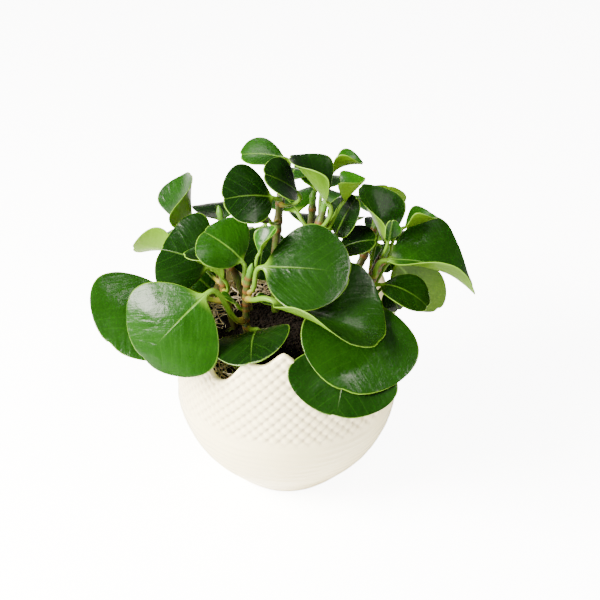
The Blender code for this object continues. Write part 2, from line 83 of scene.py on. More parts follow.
# Stems: points of the axis, then the radius. The first point is where the stem leaves the soil.
STEMS = {
    "stem_1": (((-26, -20), (-27, -21, 140), (-26, -20, 165), (-24, -20, 173)), 2.3),
    "stem_2": (((-36, 5), (-42, 4, 140), (-44, 5, 165), (-46, 8, 184)), 2.5),
    "stem_3": (((-8, 20), (-9, 26, 150), (-5, 36, 190), (-1, 43, 217)), 2.8),
    "stem_4": (((15, 6), (18, 8, 150), (20, 10, 185), (25, 15, 203)), 2.8),
    "stem_5": (((38, 2), (51, 0, 140), (61, 2, 165), (65, 4, 174)), 3.0),
    "stem_6": (((25, -23), (30, -27, 128), (35, -29, 140), (37, -29, 146)), 3.0),
    "stem_7": (((12, 36), (16, 48, 150), (18, 56, 185)), 2.8),
    "stem_8": (((-26, 28), (-40, 44, 145), (-46, 52, 175)), 2.8),
    "stem_9": (((31, 24), (52, 40, 145), (62, 48, 170)), 2.8),
}
STEM_SUNK = 4.0
STEM_FOOT = 1.5
STEM_STEP = 0.9
STEM_SIDES = 20
# The bud swells out of the stem's tip and closes to a point: rise, and share of the radius.
BUD = ((1.0, 0.84), (2.2, 0.93), (3.4, 0.94), (4.8, 0.82), (6.2, 0.6), (7.6, 0.34), (8.7, 0.1))

# Leaves, leaf_01 first: stem, node height, blade base, blade tip, roll, width, cup, arch, tip droop, and
# a heading where the blade has its own.
LEAF_ROWS = (
    (1, 165, (-28, -16, 179), (-55, -4, 196), 12, 49, 0.12, 3, 0),
    (2, 146, (-41, -13, 164), (-67, -15, 185), -11, 29, 0.65, 2, 0),
    (2, 160, (-52, 12, 158), (-86, 18, 170), 31, 65, 0.12, 4, 2),
    (8, 156, (-68, 60, 154), (-67, 72, 199), 0, 60, 0.7, 0, 0, 13),
    (2, 150, (-74, 34, 158), (-107, 34, 160), -60, 32, 0.5, 2, 0),
    (1, 138, (-51, -41, 171), (-93, -58, 131), 45, 73, -0.16, 5, 2),
    (2, 138, (-79, -5, 153), (-114, -48, 136), 31, 75, 0.05, 4, 3),
    (3, 200, (-8, 14, 211), (-42, 5, 215), 22, 52, 0.1, 3, 0),
    (3, 194, (8, 15, 214), (-15, 6, 233), 24, 37, 0.22, 2, 0),
    (3, 208, (0, 39, 227), (-31, 35, 232), 8, 33, 0.2, 2, 0),
    (4, 190, (28, 2, 213), (2, 12, 243), -21, 48, 0.68, 0, 0),
    (4, 193, (31, 41, 216), (52, 41, 223), 19, 29, 0.7, 2, 0),
    (4, 187, (38, 6, 213), (52, 9, 228), 22, 34, 0.8, 0, 0),
    (4, 176, (33, 12, 182), (47, 10, 214), 2, 26, 0.3, 2, 0, 44),
    (5, 164, (69, 14, 172), (49, 24, 215), -3, 38, 0.9, 0, 0),
    (5, 156, (66, 36, 188), (70, 39, 207), 0, 28, 0.2, 2, 0, -90),
    (5, 172, (67, -7, 190), (69, -6, 206), 0, 14, 0.6, 0, 0, 123),
    (5, 168, (78, 11, 190), (101, 13, 197), 19, 27, 0.75, 0, 0),
    (5, 160, (65, -8, 176), (127, -4, 154), 1, 66, 0.66, 6, 2),
    (5, 150, (62, -14, 161), (94, -29, 154), -5, 34, 0.15, 4, 2),
    (5, 146, (74, 14, 162), (105, 14, 122), 84, 36, 0.15, 2, 0),
    (1, 160, (-16, -23, 180), (42, -37, 183), -34, 62, 0.08, 4, 0),
    (1, 155, (-10, -37, 164), (61, -71, 155), 8, 83, 0.64, 0, 0),
    (6, 140, (57, -25, 158), (38, -92, 132), 13, 77, 0.09, 3, 3),
    (6, 130, (41, -60, 145), (32, -98, 116), 8, 71, 0.04, 3, 4),
    (1, 132, (-19, -32, 137), (-22, -74, 139), -17, 54, 0.15, 4, 0),
    (1, 150, (-20, -13, 148), (-8, -7, 142), 0, 18, 0.1, 1, 0),
    (1, 146, (-33, -22, 151), (-42, -26, 160), 0, 17, 0.1, 1, 0),
    (1, 170, (-18, -19, 187), (-6, -15, 206), 0, 16, 0.9, 0, 0),
    (3, 182, (-12, 18, 193), (-27, 14, 201), 10, 30, 0.15, 3, 0),
    (4, 160, (33, 2, 176), (60, -3, 189), -10, 33, 0.15, 3, 0),
    (7, 180, (20, 66, 188), (34, 106, 178), 0, 48, 0.15, 6, 2),
    (7, 166, (8, 62, 172), (-12, 106, 160), 0, 52, 0.12, 6, 2),
    (7, 150, (24, 62, 155), (32, 114, 136), 0, 56, 0.1, 8, 3),
    (8, 170, (-47, 62, 166), (-53, 92, 164), 0, 36, 0.15, 3, 0),
    (8, 148, (-58, 61, 149), (-104, 82, 134), -6, 48, 0.12, 5, 2),
    (8, 140, (-42, 60, 143), (-56, 108, 124), 4, 54, 0.1, 6, 3),
    (9, 154, (63, 41, 160), (73, 26, 146), 5, 32, 0.12, 2, 0),
    (9, 150, (62, 59, 151), (92, 96, 134), 0, 52, 0.1, 7, 3),
    (9, 168, (62, 60, 172), (66, 92, 166), 0, 38, 0.15, 3, 0),
    (3, 194, (2, 54, 202), (8, 88, 193), 0, 38, 0.15, 4, 0),
    (4, 180, (33, 27, 197), (42, 54, 192), 0, 30, 0.2, 3, 0),
    (5, 138, (68, 1, 148), (76, -8, 136), -12, 20, 0.1, 1, 0),
    (2, 132, (-51, 12, 139), (-64, 21, 146), 20, 22, 0.1, 2, 0),
    (3, 176, (-15, 50, 171), (-20, 34, 134), 14, 46, 0.1, 3, 0),
)
LEAVES = {"leaf_%02d" % number: row for number, row in enumerate(LEAF_ROWS, 1)}

# How light a leaf is, by its number, from 0, old and dark, to 1, young and bright. The low values also paint
# shade on leaves that lie deep in the plant or face away from the lamps. The others follow their size.
LIGHTNESS = {
    1: 0.45, 2: 0.25, 3: 0.05, 4: 0.25, 5: 0.95, 6: 0.38, 7: 0.3, 8: 0.0, 9: 0.1, 10: 0.5,
    11: 0.1, 12: 0.5, 13: 0.7, 14: 0.0, 15: 0.5, 19: 0.45, 20: 0.15, 21: 0.1, 22: 0.15, 23: 0.26,
    24: 0.2, 25: 0.1, 26: 0.0, 29: 0.6, 30: 0.0, 31: 0.0, 43: 0.0, 45: 0.0,
}
OUTLINE_LEAN = 1.1
OUTLINE_FULL = 0.7
OUTLINE_ROUNDER = 0.2
BLADE_COLUMNS = 15
BLADE_ROWS = 24
STALK_RINGS = 14
# Millimetres that the leaf's UV map spans.
UV_SPAN = 100.0

# Lamps: place and size in metres. All of them look at the lit point.
LAMPS = {
    "key": ((-0.85, -0.42, 0.8), 0.68),
    "fill": ((0.95, -0.75, 0.55), 0.9),
    "top": ((0.1, 0.75, 1.05), 0.42),
    "overhead": ((0.45, -0.25, 1.1), 0.26),
}
LIT_POINT = Vector((0.0, 0.0, 0.15))
FLOOR_REACH = 3000.0
FLOOR_Z = -0.2
WHITE = (1.0, 1.0, 1.0, 1.0)


def smoothed(edge0, edge1, value):
    share = min(max((value - edge0) / (edge1 - edge0), 0.0), 1.0)
    return share * share * (3.0 - 2.0 * share)


def bell(distance, width):
    """1 at no distance, and next to nothing a few widths away."""
    return exp(-(distance / width) ** 2)


class Value:
    """An output in a node tree. A number takes + - * / and named functions."""

    def __init__(self, tree, socket):
        self.tree = tree
        self.socket = socket

    def math(self, operation, *others):
        return self.tree.add("ShaderNodeMath", dict(enumerate((self, *others))), operation=operation)

    def __add__(self, other):
        return self.math("ADD", other)

    def __sub__(self, other):
        return self.math("SUBTRACT", other)

    def __mul__(self, other):
        return self.math("MULTIPLY", other)

    def __truediv__(self, other):
        return self.math("DIVIDE", other)

    def held(self, low, high):
        return self.math("MAXIMUM", low).math("MINIMUM", high)

    def step(self, low, high):
        """0 below low, 1 above high and smooth between them."""
        inputs = {"Value": self, "From Min": low, "From Max": high}
        return self.tree.add("ShaderNodeMapRange", inputs, interpolation_type="SMOOTHSTEP")


class Tree:
    """A node tree under construction."""

    def __init__(self, data):
        self.data = data

    def feed(self, socket, value):
        if isinstance(value, Value):
            self.data.links.new(value.socket, socket)
        else:
            socket.default_value = value

    def add(self, kind, inputs=None, output=0, **settings):
        """Adds a node, and gives back one of its outputs."""
        node = self.data.nodes.new(kind)
        for key, value in settings.items():
            setattr(node, key, value)
        for key, value in (inputs or {}).items():
            self.feed(node.inputs[key], value)
        return Value(self, node.outputs[output])

    def outputs(self, kind, inputs, **settings):
        """Adds a node, and gives back all of its outputs."""
        node = self.add(kind, inputs, **settings).socket.node
        return [Value(self, socket) for socket in node.outputs]

    def end(self, value):
        self.feed(self.data.nodes.new("NodeGroupOutput").inputs[0], value)

    def random(self, low, high, seed):
        """A random number, or a random vector where the limits are vectors."""
        kind, first, output = ("FLOAT_VECTOR", 0, 0) if isinstance(low, tuple) else ("FLOAT", 2, 1)
        inputs = {first: low, first + 1: high, "Seed": seed}
        return self.add("FunctionNodeRandomValue", inputs, output, data_type=kind)

    def named(self, name):
        return self.add("GeometryNodeInputNamedAttribute", {"Name": name}, "Attribute", data_type="FLOAT")

    def stored(self, geometry, name, value, domain):
        inputs = {"Geometry": geometry, "Name": name, "Value": value}
        return self.add("GeometryNodeStoreNamedAttribute", inputs, data_type="FLOAT", domain=domain)

    def combined(self, **inputs):
        return self.add("ShaderNodeCombineXYZ", inputs)

    def scaled(self, vector, factor):
        return self.add("ShaderNodeVectorMath", {0: vector, "Scale": factor}, operation="SCALE")

    def moved(self, geometry, offset):
        return self.add("GeometryNodeSetPosition", {"Geometry": geometry, "Offset": offset})

    def jolted(self, geometry, colour, reach):
        """Moves points by a noise's colour, read as a push to any side."""
        push = self.add("ShaderNodeVectorMath", {0: colour, 1: (0.5, 0.5, 0.5)}, operation="SUBTRACT")
        return self.moved(geometry, self.scaled(push, reach))

    def strewn(self, mesh, density, seed):
        inputs = {"Mesh": mesh, "Density": density, "Seed": seed}
        return self.add("GeometryNodeDistributePointsOnFaces", inputs)

    def thrown(self, points, instance, rotation, scale):
        inputs = {"Points": points, "Instance": instance, "Rotation": rotation, "Scale": scale}
        return self.add("GeometryNodeInstanceOnPoints", inputs)

    def camera_ray(self):
        return self.add("ShaderNodeLightPath", output="Is Camera Ray")

    def real(self, geometry):
        return self.add("GeometryNodeRealizeInstances", {"Geometry": geometry})

    def end_shape(self, geometry, material):
        """Instances become real, and the material is set."""
        self.end(self.add("GeometryNodeSetMaterial", {"Geometry": self.real(geometry), "Material": material}))


def new_group(name, kind, given, numbers, output, output_kind):
    """A node group with its sockets; gives back the group and its inputs by name."""
    tree = Tree(bpy.data.node_groups.new(name, kind))
    interface = tree.data.interface
    for title in given:
        interface.new_socket(title, in_out="INPUT", socket_type="NodeSocket" + title)
    for title, default in numbers.items():
        socket = interface.new_socket(title, in_out="INPUT", socket_type="NodeSocketFloat")
        socket.default_value = default
    interface.new_socket(output, in_out="OUTPUT", socket_type="NodeSocket" + output_kind)
    source = tree.data.nodes.new("NodeGroupInput")
    return tree, {socket.name: Value(tree, socket) for socket in source.outputs}


def shape_group(name, numbers):
    return new_group(name, "GeometryNodeTree", ("Geometry", "Material"), numbers, "Geometry", "Geometry")


# A soft cloudy mask, used by every finish for its colour changes.
def mottle_group():
    if "Mottle" not in bpy.data.node_groups:
        numbers = {"Scale": 40.0, "Low": 0.35, "High": 0.65}
        tree, given = new_group("Mottle", "ShaderNodeTree", ("Vector",), numbers, "Mask", "Float")
        inputs = {"Vector": given["Vector"], "Scale": given["Scale"], "Detail": 4.0}
        tree.end(tree.add("ShaderNodeTexNoise", inputs).step(given["Low"], given["High"]))
    return bpy.data.node_groups["Mottle"]


# Fine grain over a given height, turned into a normal.
def grain_group():
    if "Grain" not in bpy.data.node_groups:
        numbers = {"Scale": 400.0, "Depth": 0.0002, "Height": 0.0}
        tree, given = new_group("Grain", "ShaderNodeTree", ("Vector",), numbers, "Normal", "Vector")
        inputs = {"Vector": given["Vector"], "Scale": given["Scale"], "Detail": 6.0}
        height = tree.add("ShaderNodeTexNoise", inputs) * given["Depth"] + given["Height"]
        bump = {"Height": height, "Strength": 1.0, "Distance": 1.0}
        tree.end(tree.add("ShaderNodeBump", bump, "Normal"))
    return bpy.data.node_groups["Grain"]


class Finish(Tree):
    """A material under construction, with its Principled shader and the place that patterns read."""

    # Places of a mix node's factor, two colours and mixed colour among its sockets.
    FACTOR, FIRST, SECOND, MIXED = 0, 6, 7, 2

    def __init__(self, name, **sockets):
        self.material = bpy.data.materials.new(name)
        self.material.use_nodes = True
        super().__init__(self.material.node_tree)
        self.shader = self.data.nodes["Principled BSDF"]
        self.paint(**sockets)
        self.place = self.add("ShaderNodeTexCoord", output="Object")

    def paint(self, **sockets):
        """Sets or links the shader's sockets, with low lines for the spaces in their names."""
        for key, value in sockets.items():
            self.feed(self.shader.inputs[key.replace("_", " ")], value)

    def mottle(self, scale, low, high):
        inputs = {"Vector": self.place, "Scale": scale, "Low": low, "High": high}
        return self.add("ShaderNodeGroup", inputs, node_tree=mottle_group())

    def done(self, base, rough, scale, depth, height=0.0):
        """Links the colour, the roughness and a grain of a scale and depth; gives the material back."""
        inputs = {"Vector": self.place, "Scale": scale, "Depth": depth, "Height": height}
        grain = self.add("ShaderNodeGroup", inputs, node_tree=grain_group())
        self.paint(Base_Color=base, Roughness=rough, Normal=grain)
        return self.material

    def mix(self, mask, first, second):
        first, second = [c if isinstance(c, Value) else (*c, 1.0) for c in (first, second)]
        inputs = {self.FACTOR: mask, self.FIRST: first, self.SECOND: second}
        return self.add("ShaderNodeMix", inputs, self.MIXED, data_type="RGBA")

    def mark(self, name, output="Fac"):
        return self.add("ShaderNodeAttribute", output=output, attribute_name=name)

    def marks(self):
        """The three marks that a leaf or a stem keeps in one colour attribute."""
        return self.outputs("ShaderNodeSeparateColor", {0: self.mark("marks", "Color")})


def glaze_finish(props):
    finish = Finish("cream_glaze", Coat_Weight=0.35, Coat_Roughness=0.06, IOR=1.52)
    pit = finish.mark("pit")
    bare = finish.mark("bare")
    cloud = finish.mottle(26.0, 0.3, 0.7)
    speck = finish.mottle(700.0, 0.7, 0.78)
    base = finish.mix(cloud * 0.5, props.glaze, props.glaze_warm)
    # Darker glaze in the pits and grooves: partly glaze that pools there, partly painted shade in the
    # recesses.
    base = finish.mix(pit * 0.75, base, props.pit)
    base = finish.mix(speck * 0.22, base, props.speck)
    base = finish.mix(bare, base, props.bare_clay)
    return finish.done(base, cloud * 0.1 + bare * 0.55 + 0.13, 240.0, 0.00012)


def leaf_finish(props):
    finish = Finish(
        "fleshy_leaf", Coat_Roughness=0.1, IOR=1.42, Specular_IOR_Level=0.16, Subsurface_Weight=0.12,
        Subsurface_Scale=0.0025, Subsurface_Radius=(0.6, 1.0, 0.25)
    )
    upper, rim, tone = finish.marks()
    stalk = finish.mark("stalk")
    uv = finish.add("ShaderNodeUVMap", uv_map="blade")
    x, y, _ = finish.outputs("ShaderNodeSeparateXYZ", {0: uv})
    across = (x - 0.5).math("ABSOLUTE") * UV_SPAN
    along = y * UV_SPAN
    # The midrib is wide and pale at the base and is lost before the tip; the side veins curve forward.
    width = (along * -0.022 + 1.25).math("MAXIMUM", 0.12)
    midrib = (across / width).step(1.0, 0.35) * along.step(52.0, 12.0)
    lean = across * 0.75 + across * across * 0.012
    phase = ((along - lean) / 9.5).math("FRACT") - 0.5
    vein = phase.math("ABSOLUTE").step(0.075, 0.0) * across.step(0.4, 2.5) * across.step(30.0, 14.0)
    cloud = finish.mottle(38.0, 0.25, 0.75)
    fine = finish.mottle(260.0, 0.3, 0.7)
    # A low tone gives the dark green of old leaves, and also the painted shade on leaves deep in the plant.
    dark = finish.mix(tone, props.top_dark, props.top_light)
    lit = finish.mix(tone, props.top_mid, props.top_bright)
    top = finish.mix(cloud * 0.75 + fine * 0.15, dark, lit)
    top = finish.mix(vein * 0.08, top, props.vein)
    top = finish.mix(midrib * (tone * 0.5 + 0.22), top, props.midrib)
    under = finish.mix(tone * 0.7 + cloud * 0.3, props.under, props.under_light)
    under = finish.mix(midrib * 0.5 + vein * 0.15, under, props.midrib)
    base = finish.mix(upper, under, top)
    base = finish.mix(rim, base, props.rim)
    green = finish.mix(stalk.step(0.75, 1.0) * 0.7, props.stalk, props.flush)
    base = finish.mix(stalk.step(0.02, 0.25), base, green)
    finish.paint(Coat_Weight=upper * 0.1)
    # Fine puckers run along the side veins and break the highlights up.
    fan = finish.combined(X=(along - lean) / 6.5, Y=across / 15.0, Z=tone * 40.0)
    inputs = {"Vector": fan, "Scale": 1.0, "Detail": 2.0, "Distortion": 0.5}
    pucker = finish.add("ShaderNodeTexNoise", inputs)
    relief = midrib * upper * -0.00028 + vein * upper * -0.00002
    relief = relief + finish.mottle(150.0, 0.3, 0.7) * 0.00014 + pucker * upper * 0.0005
    return finish.done(base, upper * -0.12 + cloud * 0.08 + 0.36, 420.0, 0.00022, relief)


def stem_finish(props):
    finish = Finish("green_stem", Specular_IOR_Level=0.18, Subsurface_Weight=0.06, Subsurface_Scale=0.002)
    node, bud, age = finish.marks()
    cloud = finish.mottle(140.0, 0.35, 0.7)
    base = finish.mix(cloud, props.green, props.green_dark)
    base = finish.mix(age * cloud * 0.9, base, props.bark)
    base = finish.mix(node * 0.85, base, props.node)
    base = finish.mix(bud, base, props.bud)
    return finish.done(base, cloud * 0.15 + 0.34, 420.0, 0.0004)


# The soil's colours are very dark: partly the soil's own colour, partly painted shade from the leaves above
# it.
def soil_finish(props):
    finish = Finish("dark_soil", Specular_IOR_Level=0.1)
    coarse = finish.mottle(180.0, 0.3, 0.7)
    fine = finish.mottle(900.0, 0.4, 0.65)
    base = finish.mix(coarse, props.soil_dark, props.soil)
    base = finish.mix(fine * 0.4, base, props.soil_light)
    return finish.done(base, fine * 0.1 + 0.82, 500.0, 0.003)


def wool_finish(props):
    finish = Finish("pale_wood_wool")
    streak = finish.mottle(900.0, 0.35, 0.7)
    base = finish.mix(finish.mark("tone"), props.wool, props.wool_dark)
    base = finish.mix(streak * 0.3, base, props.wool_streak)
    return finish.done(base, streak * 0.12 + 0.6, 1600.0, 0.0005)


def floor_finish(props):
    finish = Finish("pale_floor", Roughness=0.6, Emission_Color=WHITE)
    lighter = tuple(min(1.0, c * 1.02) for c in props.floor)
    base = finish.mix(finish.mottle(3.0, 0.2, 0.8), props.floor, lighter)
    finish.paint(Base_Color=base, Emission_Strength=finish.camera_ray() * props.floor_glow)
    return finish.material


def add_object(name, data):
    item = bpy.data.objects.new(name, data)
    bpy.context.scene.collection.objects.link(item)
    return item


# A smooth object from points in millimetres, with its marks and numbers for each point.
def make_object(name, verts, faces, material, marks=None, **numbers):
    mesh = bpy.data.meshes.new(name)
    mesh.from_pydata([tuple(c * MM for c in v) for v in verts], [], faces)
    mesh.materials.append(material)
    mesh.shade_smooth()
    if marks:
        layer = mesh.color_attributes.new("marks", "FLOAT_COLOR", "POINT")
        layer.data.foreach_set("color", [c for mark in marks for c in (*mark, 1.0)])
    for key, values in numbers.items():
        mesh.attributes.new(key, "FLOAT", "POINT").data.foreach_set("value", values)
    return add_object(name, mesh)


# Faces between rings of points that follow each other in one list.
def ring_faces(rings, columns, flip=False):
    faces = []
    for row in range(rings - 1):
        for i in range(columns):
            a = row * columns + i
            b = row * columns + (i + 1) % columns
            quad = (a, a + columns, b + columns, b) if flip else (a, b, b + columns, a + columns)
            faces.append(quad)
    return faces


# Joins points that lie in one place and makes every face point outwards.
def close_seams(mesh):
    work = bmesh.new()
    work.from_mesh(mesh)
    bmesh.ops.remove_doubles(work, verts=work.verts, dist=0.00002)
    if work.calc_volume(signed=True) < 0.0:
        bmesh.ops.reverse_faces(work, faces=work.faces)
    work.to_mesh(mesh)
    work.free()


def dress(piece, slot, *nodes):
    """Ties a finished piece to the frame."""
    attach(piece, "root")
    if nodes:
        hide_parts(*nodes)


# Gives an object the result of its geometry nodes as a plain mesh. A number is read from the
# settings where one has its name.
def settle(item, tree, props, material):
    modifier = item.modifiers.new("nodes", "NODES")
    modifier.node_group = tree.data
    for socket in tree.data.interface.items_tree:
        key = socket.name.lower().replace(" ", "_")
        if hasattr(props, key):
            modifier[socket.identifier] = float(getattr(props, key))
        elif socket.name == "Material":
            modifier[socket.identifier] = material
    item.update_tag()
    bpy.context.view_layer.update()
    depsgraph = bpy.context.evaluated_depsgraph_get()
    mesh = bpy.data.meshes.new_from_object(item.evaluated_get(depsgraph))
    item.modifiers.clear()
    item.data = mesh
    if not mesh.polygons:
        raise RuntimeError(item.name + " came out empty")


# Rim height at an azimuth counted from the front, in degrees.
def rim_height(azimuth):
    drop = 0.0
    for centre, depth, half in RIM_DIPS:
        away = abs((azimuth - centre + 180.0) % 360.0 - 180.0) / half
        if away < 1.0:
            drop = max(drop, depth * (1.0 - away * away) ** 2)
    return RIM_TOP - drop


def wall_radius(z):
    belly_top, belly_radius = BELLY[-1]
    if z < belly_top:
        for low, high in zip(BELLY, BELLY[1:]):
            if z <= high[0]:
                return low[1] + (high[1] - low[1]) * (z - low[0]) / (high[0] - low[0])
    if z <= MAX_RADIUS_Z:
        share = (MAX_RADIUS_Z - z) / (MAX_RADIUS_Z - belly_top)
        return MAX_RADIUS - (MAX_RADIUS - belly_radius) * share ** BELLY_CURVE
    share = (z - MAX_RADIUS_Z) / (RIM_TOP - MAX_RADIUS_Z)
    return MAX_RADIUS - (MAX_RADIUS - RIM_RADIUS) * share ** TAPER_CURVE


# One column of the pot's plain skin, from the middle of its foot up the outside, over the lip and down
# inside. Each point has its radius, its height, and its shares of the outside's relief and of bare clay.
def pot_column(rim, rows):
    column = [(r, 0.0, 0.0, 1.0) for r in (0.0, 12.0, 26.0, 31.5)]
    column.extend(((33.4, 0.25, 0.0, 1.0), (35.2, 0.9, 0.0, 1.0), (37.4, 2.0, 0.0, 0.6)))
    levels = [3.2 + 1.6 * k for k in range(45)]
    column.extend((wall_radius(z), z, 1.0, 0.0) for z in levels)
    start = levels[-1]
    for k in range(1, rows + 1):
        z = start + (rim - LIP_RISE - start) * (k / rows)
        column.append((wall_radius(z), z, 1.0 if k < rows else 0.6, 0.0))
    # The lip is a half round as thick as the wall.
    for k in range(1, LIP_STEPS):
        turn = pi * k / LIP_STEPS
        z = rim - LIP_RISE + LIP_RISE * sin(turn)
        column.append((wall_radius(z) - WALL_THICK * 0.5 * (1.0 - cos(turn)), z, 0.0, 0.0))
    for k in range(10):
        drop = LIP_RISE + 4.0 * k
        z = max(rim - drop, SOIL_EDGE_Z - 6.0 - 0.2 * drop)
        column.append((wall_radius(z) - WALL_THICK, z, 0.0, 0.0))
    return column


def build_pot(props, material):
    count = props.net_columns * props.steps_per_cell
    angles = [2.0 * pi * i / count for i in range(count)]
    columns = [pot_column(rim_height(degrees(angle) + 90.0), POT_ROWS) for angle in angles]
    verts = []
    outside = []
    bare = []
    for ring in zip(*columns):
        for angle, (r, z, out, dry) in zip(angles, ring):
            verts.append((r * cos(angle), r * sin(angle), z))
            outside.append(out)
            bare.append(dry)
    faces = ring_faces(len(columns[0]), count)
    pot = make_object("glazed_pot", verts, faces, material, outside=outside, bare=bare)
    settle(pot, relief_tree(), props, material)
    close_seams(pot.data)
    pot.data.shade_smooth()
    return pot


# Pushes the outside of the wall into crossing grooves with a pit at each crossing, and into soft ridges.
def relief_tree():
    numbers = {
        "Net Columns": 60.0, "Cell Height": 0.0084, "Net Foot": NET_FOOT_Z * MM, "Lozenge Height": 0.0006,
        "Groove Depth": 0.0006, "Pit Depth": 0.001, "Ridge Height": 0.0004, "Ridge Spacing": 0.0055,
    }
    tree, given = shape_group("Net relief", numbers)
    place = tree.add("GeometryNodeInputPosition")
    x, y, z = tree.outputs("ShaderNodeSeparateXYZ", {0: place})
    outside = tree.named("outside")
    # A slow wobble keeps the hand-made net and the throwing ridges from looking machined.
    wobble = tree.add("ShaderNodeTexNoise", {"Vector": place, "Scale": 34.0, "Detail": 1.0}) - 0.5
    above = z - given["Net Foot"]
    around = y.math("ARCTAN2", x) * given["Net Columns"] / (2.0 * pi)
    upward = above / given["Cell Height"]

    def groove(phase):
        wave = (phase * pi).math("COSINE")
        return (wave * wave).math("POWER", 2.6)

    foot = above + wobble * 0.006
    band = foot.step(-0.001, 0.003)
    rising = groove(around + upward + wobble * 0.22) * foot.step(-0.0035, 0.0015)
    falling = groove(around - upward + wobble * 0.22) * band
    cross = rising * falling
    cut = rising.math("MAXIMUM", falling)
    lift = (cut * -1.0 + 1.0) * band * given["Lozenge Height"]
    net = lift - cut * given["Groove Depth"] - cross * given["Pit Depth"]
    ridge_phase = (z + wobble * 0.004) / given["Ridge Spacing"] * (2.0 * pi)
    ridge_zone = (z + wobble * 0.01).step(0.026, 0.038) * above.step(0.0, -0.004)
    ridges = ridge_phase.math("SINE") * (wobble * 1.8 + 0.9) * ridge_zone * given["Ridge Height"]
    push = (net + ridges + wobble * 0.0008) * outside
    out = tree.add("ShaderNodeVectorMath", {0: tree.combined(X=x, Y=y)}, operation="NORMALIZE")
    moved = tree.moved(given["Geometry"], tree.scaled(out, push))
    stored = tree.stored(moved, "pit", (cross + cut * 0.25) * outside, "POINT")
    tree.end_shape(stored, given["Material"])
    return tree


# Loose flat strands, thrown in every direction over a ring and kept inside the pot.
def wool_tree():
    numbers = {
        "Wool Density": 60000.0, "Strand Length": 0.045, "Strand Width": 0.0012, "Strand Thickness": 0.00025,
        "Curl": 0.02, "Heap": 0.008, "Inner Radius": 0.044, "Outer Radius": 0.0695, "Low Level": 0.1106,
        "High Level": 0.1205,
    }
    tree, given = shape_group("Wood wool strands", numbers)
    points = tree.strewn(given["Geometry"], given["Wool Density"], 11)
    heaped = tree.moved(points, tree.combined(Z=tree.random(0.0, 1.0, 21) * given["Heap"]))
    half = given["Strand Length"] * 0.5
    ends = {"Start": tree.combined(X=half * -1.0), "End": tree.combined(X=half)}
    line = tree.add("GeometryNodeCurvePrimitiveLine", ends)
    strand = tree.add("GeometryNodeResampleCurve", {"Curve": line, "Count": 20})
    turn = tree.random((-0.25, -0.25, 0.0), (0.25, 0.25, FULL_TURN), 31)
    thrown = tree.thrown(heaped, strand, turn, tree.random(0.55, 1.25, 41))
    real = tree.real(tree.stored(thrown, "tone", tree.random(0.0, 1.0, 51), "INSTANCE"))
    place = tree.add("GeometryNodeInputPosition")
    inputs = {"Vector": place, "W": tree.named("tone") * 60.0, "Scale": 62.0, "Detail": 1.0}
    level, colour = tree.outputs("ShaderNodeTexNoise", inputs, noise_dimensions="4D")
    waved = tree.jolted(real, colour, given["Curl"])
    # What curls past the wall, the middle or the soil is drawn back to them.
    x, y, z = tree.outputs("ShaderNodeSeparateXYZ", {0: place})
    reach = (x * x + y * y).math("SQRT").math("MAXIMUM", 0.001)
    share = reach.held(given["Inner Radius"], given["Outer Radius"]) / reach
    spot = tree.combined(X=x * share, Y=y * share, Z=z.held(given["Low Level"], given["High Level"]))
    kept = tree.add("GeometryNodeSetPosition", {"Geometry": waved, "Position": spot})
    tilted = tree.add("GeometryNodeSetCurveTilt", {"Curve": kept, "Tilt": (level - 0.5) * 9.0})
    size = {"Width": given["Strand Width"], "Height": given["Strand Thickness"]}
    section = tree.add("GeometryNodeCurvePrimitiveQuadrilateral", size)
    inputs = {"Curve": tilted, "Profile Curve": section, "Fill Caps": True}
    tree.end_shape(tree.add("GeometryNodeCurveToMesh", inputs), given["Material"])
    return tree


# Crumbs of soil in many sizes, sunk a little into the ground that they lie on.
def crumb_tree():
    tree, given = shape_group("Soil crumbs", {"Crumb Density": 300000.0, "Crumb Size": 0.0016})
    points = tree.strewn(given["Geometry"], given["Crumb Density"], 5)
    crumb = tree.add("GeometryNodeMeshIcoSphere", {"Radius": 0.5, "Subdivisions": 2})
    size = tree.scaled(tree.random((0.25, 0.25, 0.2), (1.4, 1.2, 0.9), 61), given["Crumb Size"])
    turn = tree.random((0.0, 0.0, 0.0), (FULL_TURN, FULL_TURN, FULL_TURN), 71)
    real = tree.real(tree.thrown(points, crumb, turn, size))
    colour = tree.add("ShaderNodeTexNoise", {"Scale": 900.0, "Detail": 2.0}, "Color")
    tree.end_shape(tree.jolted(real, colour, 0.0009), given["Material"])
    return tree


def soil_height(r):
    if r >= SOIL_CROWN_RADIUS:
        return SOIL_EDGE_Z
    share = 1.0 - (r / SOIL_CROWN_RADIUS) ** 2
    return SOIL_EDGE_Z + (SOIL_CROWN_Z - SOIL_EDGE_Z) * min(1.0, SOIL_CROWN_STEEP * share)


# A flat or domed ring of faces that strands or crumbs are strewn on, and then become.
def strewn_ring(name, inner, outer, rings, height, tree, props, material):
    verts = []
    for k in range(rings + 1):
        r = inner + (outer - inner) * k / rings
        for i in range(GROUND_COLUMNS):
            angle = 2.0 * pi * i / GROUND_COLUMNS
            verts.append((r * cos(angle), r * sin(angle), height(r)))
    item = make_object(name, verts, ring_faces(rings + 1, GROUND_COLUMNS, flip=True), material)
    settle(item, tree, props, material)
    return item


def stem_axis(name):
    points, radius = STEMS[name]
    x, y = points[0]
    top = soil_height(hypot(x, y))
    axis = [(x, y, top - STEM_SUNK), (x, y, top + STEM_FOOT)]
    axis.extend(points[1:])
    return [Vector(p) for p in axis], radius


def stem_at(name, z):
    axis, radius = stem_axis(name)
    for low, high in zip(axis, axis[1:]):
        if low.z <= z <= high.z:
            point = low.lerp(high, (z - low.z) / (high.z - low.z))
            return point, (high - low).normalized(), radius
    return axis[-1], (axis[-1] - axis[-2]).normalized(), radius


# The stem's axis with its bends rounded off.
def stem_point(name, z):
    total = Vector((0.0, 0.0, 0.0))
    for k in range(-2, 3):
        total += stem_at(name, z + 2.0 * k)[0]
    point = total / 5.0
    point.z = stem_at(name, z)[0].z
    return point


